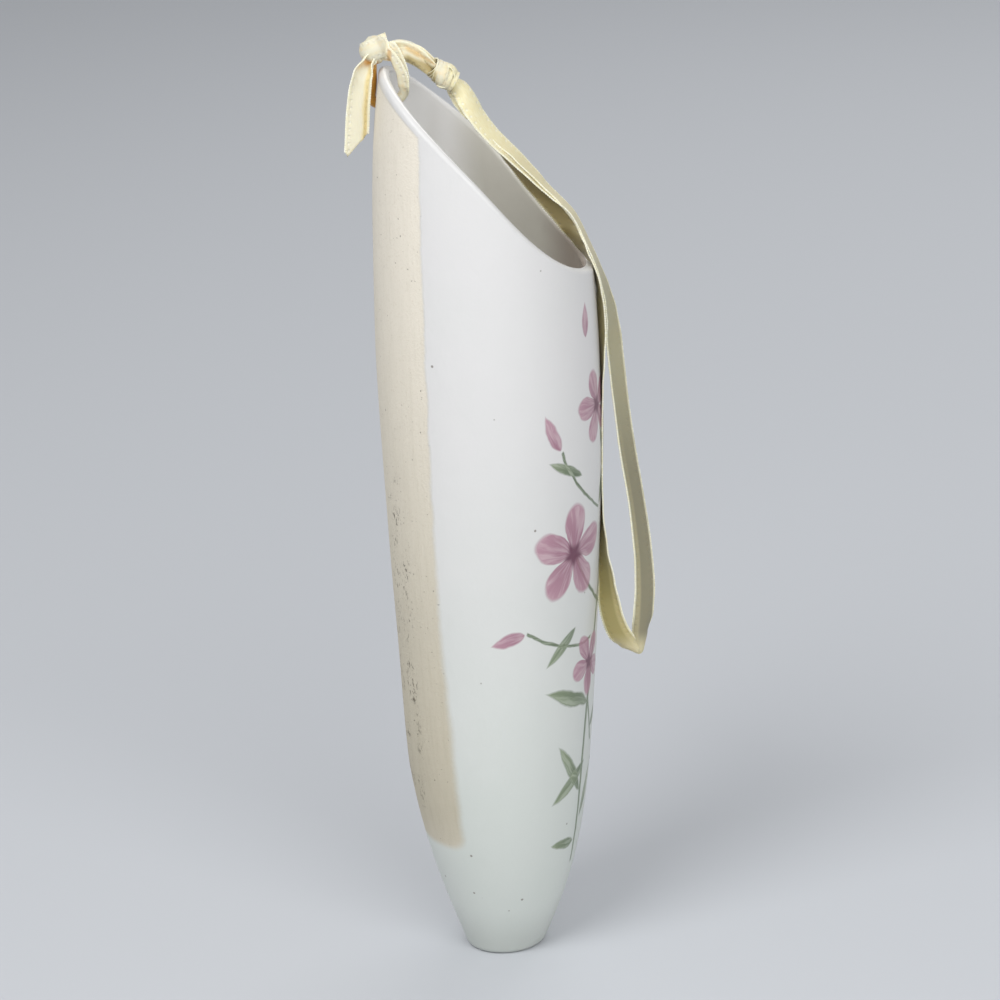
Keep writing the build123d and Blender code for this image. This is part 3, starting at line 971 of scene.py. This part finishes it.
def glaze_finish():
    """White glaze, glossier inside, a bare strip down the back, and the painted front."""
    glaze = Finish("white_glaze_painted")
    place = glaze.stretch(glaze.node("TexCoord", output=3), (1 / MM, 1 / MM, 1 / MM))
    x, y, z = glaze.split(place)
    normal_x, normal_y, _ = glaze.split(glaze.node("TexCoord", output=1))
    facing = x * normal_x + (y - BODY_MIDDLE) * normal_y
    outside = glaze.step(facing, *OUTSIDE_FACING)
    bare = bare_share(glaze, place, outside)
    angle = x.math("ARCTAN2", BODY_MIDDLE - y)
    front = glaze.step(BODY_MIDDLE + 6 - y, 0.0, 4.0) * outside
    white = glazed_tone(glaze, place, outside)
    white = painted(glaze, white, angle * FRONT_RADIUS, z, front)
    clay, rough = bare_clay(glaze, place)
    ripple = glaze.noise(place, 0.22, 2.0) * 0.10 + glaze.noise(place, 1.8, 2.0) * 0.012
    height = ripple * (1 - bare) + rough * bare
    inner_gloss = 0.13 + outside * 0.25
    glaze.set(
        base_color=glaze.mix(bare, white, clay), roughness=inner_gloss + bare * 0.48,
        normal=glaze.bump(height), ior=1.5,
    )
    return glaze.material


def plain_finish(name, colour, roughness):
    finish = Finish(name)
    finish.set(base_color=(*colour, 1), roughness=roughness)
    return finish.material


# Stage and light

LAMPS = [
    # name, place, size, power
    ("key", (-0.85, 0.55, 1.15), 0.9, 11.8),
    ("room", (-1.3, -0.7, 0.8), 1.2, 12.5),
    ("far", (0.9, -0.4, 0.9), 1.2, 4.0),
]
LAMP_AIM = Vector((0, -0.03, 0.01))
ROOM_LIGHT = 0.47
FLOOR_TONE = (0.58, 0.60, 0.63)
SKY_TONE = (0.80, 0.81, 0.83)


def make_stage():
    mesh = bpy.data.meshes.new("floor")
    half = FLOOR_SIZE / 2
    corners = [(-half, -half), (half, -half), (half, half), (-half, half)]
    mesh.from_pydata([(x, y, FLOOR_HEIGHT) for x, y in corners], [], [(0, 1, 2, 3)])
    floor = bpy.data.objects.new("floor", mesh)
    bpy.context.scene.collection.objects.link(floor)
    mesh.materials.append(plain_finish("pale_floor", FLOOR_TONE, 0.9))
    world = bpy.data.worlds.new("room")
    bpy.context.scene.world = world
    world.use_nodes = True
    background = world.node_tree.nodes["Background"]
    background.inputs["Color"].default_value = (*SKY_TONE, 1)
    background.inputs["Strength"].default_value = ROOM_LIGHT


def make_lamps():
    for name, place, size, power in LAMPS:
        light = bpy.data.lights.new(name, "AREA")
        light.shape = "DISK"
        light.size = size
        light.energy = power
        lamp = bpy.data.objects.new(name, light)
        bpy.context.scene.collection.objects.link(lamp)
        lamp.location = place
        lamp.rotation_euler = (LAMP_AIM - Vector(place)).to_track_quat("-Z", "Y").to_euler()
    bpy.context.scene.view_settings.view_transform = "Standard"


# The pieces


def add_ribbon(name, line, wide, sections, finishes, tree, cut=0.0):
    """A strip of cloth and the stitches along its edges, as two pieces."""
    satin, thread = finishes
    mesh, cloth = ribbon_mesh(name + "_ribbon", line, wide, sections, cut)
    ribbon = add_piece(name + "_ribbon", mesh, satin)
    stitches = stitched_edges(name + "_selvedges", cloth, tree, thread)
    selvedges = add_piece(name + "_selvedges", stitches, thread)
    return ribbon, selvedges, line


def make_loop(finishes, tree):
    line, turns, rolls = route_line("loop_line", LOOP_ROUTE)
    return add_ribbon("loop", line, width_directions(line, turns), rolled(rolls), finishes, tree)


def make_tied(finishes, tree):
    """The strand through the hole, folded over at first, and the creased tail with its cut end."""
    line, turns, rolls = route_line("tied_line", TIED_ROUTE)
    along = lengths_along(line)
    tail = np.clip((along - along[-1] + TAIL_LENGTH) / TAIL_EASE, 0, 1)[:, None, None]
    plain = rolled(rolls)
    sections = plain * (1 - tail) + ridged(plain, TAIL_RIDGES) * tail
    from_start = along / MM
    fold = np.interp(from_start, *zip(*WRAP_FOLD))[:, None, None]
    fold = fold * fold * (3 - 2 * fold)
    line_at = np.interp(from_start, *zip(*WRAP_FOLD_LINE))
    sections = sections * (1 - fold) + folded(line_at) * fold
    wide = width_directions(line, turns)
    return add_ribbon("tied", line, wide, sections, finishes, tree, cut=TAIL_CUT)


def make_bridge(name, side, phase, satin):
    """One of the two gathered strands between the knots. phase moves its pleats."""
    route = [
        (side * BRIDGE_SPREAD, y, z + side * BRIDGE_SPREAD / 3, turn, 0)
        for y, z, turn in BRIDGE_ROUTE
    ]
    line, turns, _ = route_line(name + "_line", route)
    share = np.linspace(0, 1, len(line))
    swell = np.sin((share * 0.9 + 0.05) ** 0.9 * math.pi) ** 0.8
    width = BRIDGE_WIDTH + (BRIDGE_SWELL - 0.5 * side) * swell
    depth = BRIDGE_DEPTH + 0.7 * swell
    wander = phase + share * 2.2 + 0.7 * np.sin(share * 7 + phase)
    sections = pleated(width, depth, 1.7 + 0.4 * side, wander)
    mesh, _ = ribbon_mesh(name, line, width_directions(line, turns), sections)
    return add_piece(name, mesh, satin)


def make_top_knot(satin):
    bands = [
        wound_band(TOP_KNOT, Vector(axis), radius, roll, begin=begin, sweep=sweep, lean=lean)
        for axis, radius, roll, begin, sweep, lean in TOP_KNOT_TURNS
    ]
    return add_piece("top_knot_wraps", merged("top_knot_wraps", bands), satin)


def make_loop_knot(satin):
    """Turns that lean across each other about a folded core, and one that goes over them."""
    axis, across, lift = LOOP_KNOT_AXIS.normalized(), Vector((1, 0, 0)), LOOP_KNOT_LIFT
    bands = [
        wound_band(
            LOOP_KNOT + axis * (place * MM), axis + across * sideways + lift * upwards, radius,
            LOOP_KNOT_ROLL, begin=LOOP_KNOT_BEGIN, drift=0.5, fold=fold, flare=flare,
        )
        for place, sideways, upwards, radius, fold, flare in LOOP_KNOT_TURNS
    ]
    core = wound_band(LOOP_KNOT, axis + lift * 0.2, 2.3, 58, begin=LOOP_KNOT_BEGIN, drift=1.0)
    over = wound_band(
        LOOP_KNOT + axis * (0.5 * MM), across + axis * 0.30, 3.35, 30,
        begin=200, sweep=340, fold=0.62,
    )
    mesh = merged("loop_knot_wraps", [core, over, *bands])
    return add_piece("loop_knot_wraps", mesh, satin)


def make_stub(satin):
    """The short cut end that stands up beside the top knot."""
    line = smooth_line("stub_line", STUB_ROUTE)
    share = np.linspace(0, 1, len(line))
    wide = np.repeat(unit(np.array([STUB_WIDE])), len(line), axis=0)
    width, depth, wander = 2.0 + 0.9 * share, 0.7 - 0.4 * share, 0.6 + 0.5 * share
    mesh, _ = ribbon_mesh("knot_stub", line, wide, pleated(width, depth, 0.7, wander))
    return add_piece("knot_stub", mesh, satin)


make_camera()
satin, thread, tree = satin_finish(), thread_finish(), stitch_tree()
loop, loop_selvedges, loop_line = make_loop((satin, thread), tree)
tied, tied_selvedges, tied_line = make_tied((satin, thread), tree)
bridge_near = make_bridge("bridge_near", -1, 0.3, satin)
bridge_far = make_bridge("bridge_far", 1, 1.9, satin)
top_knot, loop_knot, stub = make_top_knot(satin), make_loop_knot(satin), make_stub(satin)

for piece in (loop, loop_selvedges):
    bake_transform(piece)
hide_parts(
    "loop_strand_outer", "loop_drop_outer", "loop_fold", "loop_drop_inner",
    "loop_strand_inner",
)
for piece, body, nodes in (
    (tied, "vase", ["ribbon_wrap", "ribbon_tail"]),
    (tied_selvedges, "vase", []),
    (top_knot, "vase", ["top_knot"]),
    (stub, "vase", ["ribbon_stub"]),
    (bridge_near, "strap", ["ribbon_bridge_left"]),
    (bridge_far, "strap", ["ribbon_bridge_right"]),
    (loop_knot, "strap", ["loop_knot"]),
):
    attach(piece, body)
    if nodes:
        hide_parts(*nodes)
# The tail's path ends a little before its point, as the cut slants
print("loop length", round(float(lengths_along(loop_line)[-1]), 4))
print("tied length", round(float(lengths_along(tied_line)[-1]), 4))

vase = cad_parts["vase_body"]
vase.data.materials.clear()
vase.data.materials.append(glaze_finish())
make_stage()
make_lamps()
